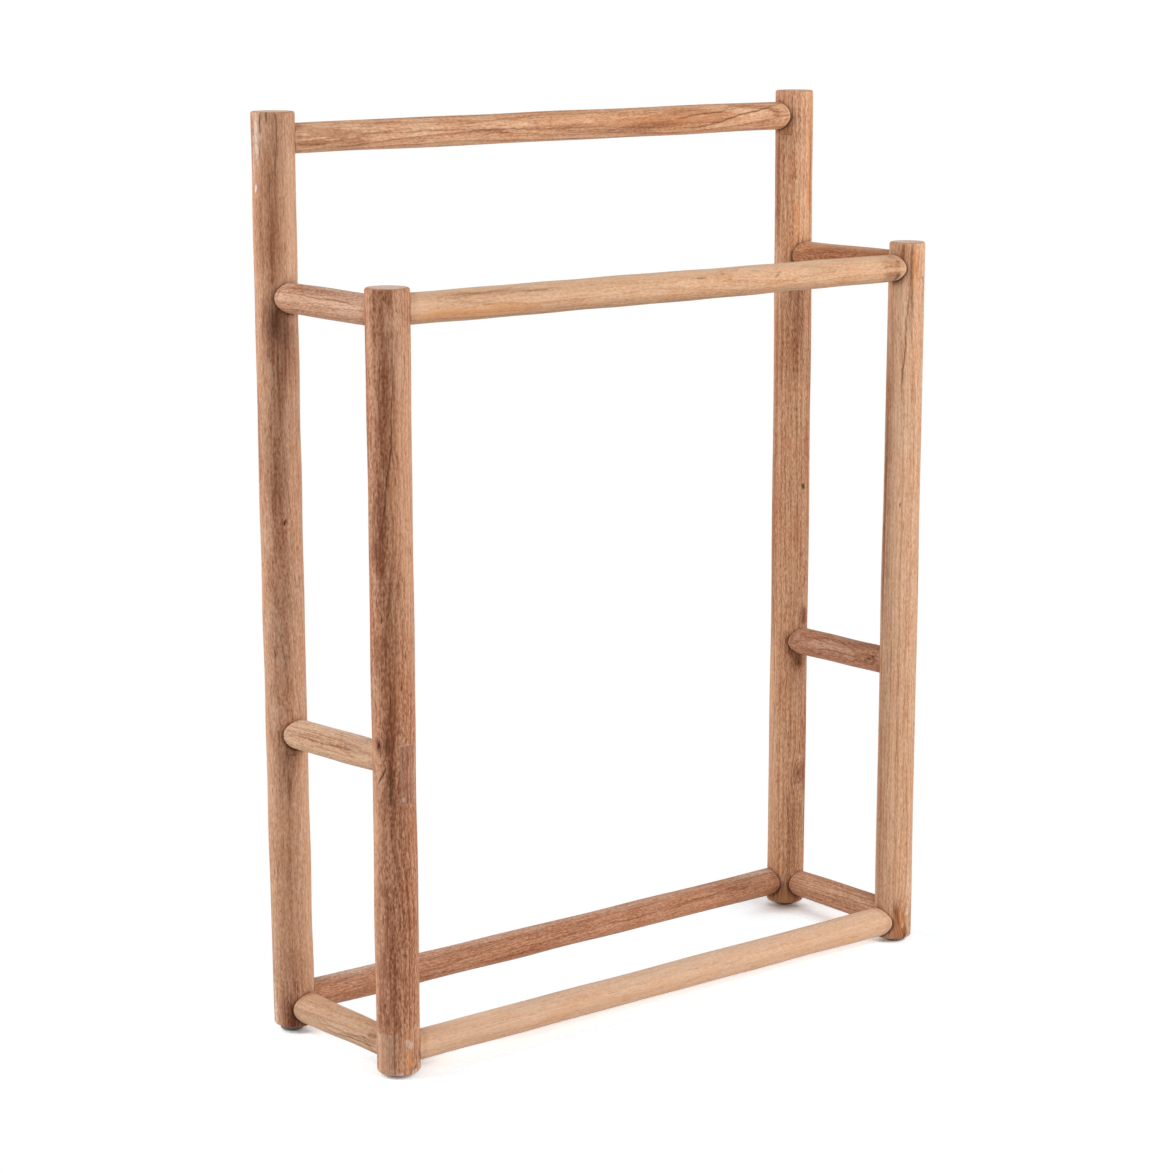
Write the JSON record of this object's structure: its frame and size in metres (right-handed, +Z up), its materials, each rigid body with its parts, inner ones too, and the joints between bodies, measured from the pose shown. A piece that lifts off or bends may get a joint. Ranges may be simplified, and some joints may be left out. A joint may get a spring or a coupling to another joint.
{
  "type": "towel rack",
  "caption": "Free-standing towel rack of round teak posts and rails: a high rear rail, a lower front rail, side rails and a low base frame, on small floor glides.",
  "frame": {"origin": "on the floor, midway between the four posts", "axes": "+Z up, +X along the long rails to the right seen from the front, +Y towards the tall rear posts"},
  "size_m": [0.7006, 0.2124, 0.89],
  "materials": {
    "teak_posts": "sanded, matt",
    "teak_rails": "sanded, matt",
    "teak_patches": "sanded, matt",
    "teak_plugs": "sanded, matt",
    "screw_steel": "zinc plated",
    "glide_plastic": "moulded, dull"
  },
  "bodies": {
    "root": {"post_front_left": "teak_posts", "post_front_right": "teak_posts", "post_rear_left": "teak_posts", "post_rear_right": "teak_posts", "rail_front_top": "teak_rails", "rail_front_bottom": "teak_rails", "rail_rear_top": "teak_rails", "rail_rear_bottom": "teak_rails", "rail_left_top": "teak_rails", "rail_left_middle": "teak_rails", "rail_left_bottom": "teak_rails", "rail_right_top": "teak_rails", "rail_right_middle": "teak_rails", "rail_right_bottom": "teak_rails", "middle_patch_front_left": "teak_patches", "front_foot_patch_front_left": "teak_patches", "rear_foot_patch_rear_left": "teak_patches", "collar_patch_rear_right": "teak_patches", "plugs_front_left": "teak_plugs", "plugs_front_right": "teak_plugs", "plugs_rear_left": "teak_plugs", "plugs_rear_right": "teak_plugs", "screws_front_left": "screw_steel", "screws_front_right": "screw_steel", "screws_rear_left": "screw_steel", "screws_rear_right": "screw_steel", "glide_front_left": "glide_plastic", "glide_front_right": "glide_plastic", "glide_rear_left": "glide_plastic", "glide_rear_right": "glide_plastic", "glide_nails": "screw_steel"}
  },
  "joints": []
}
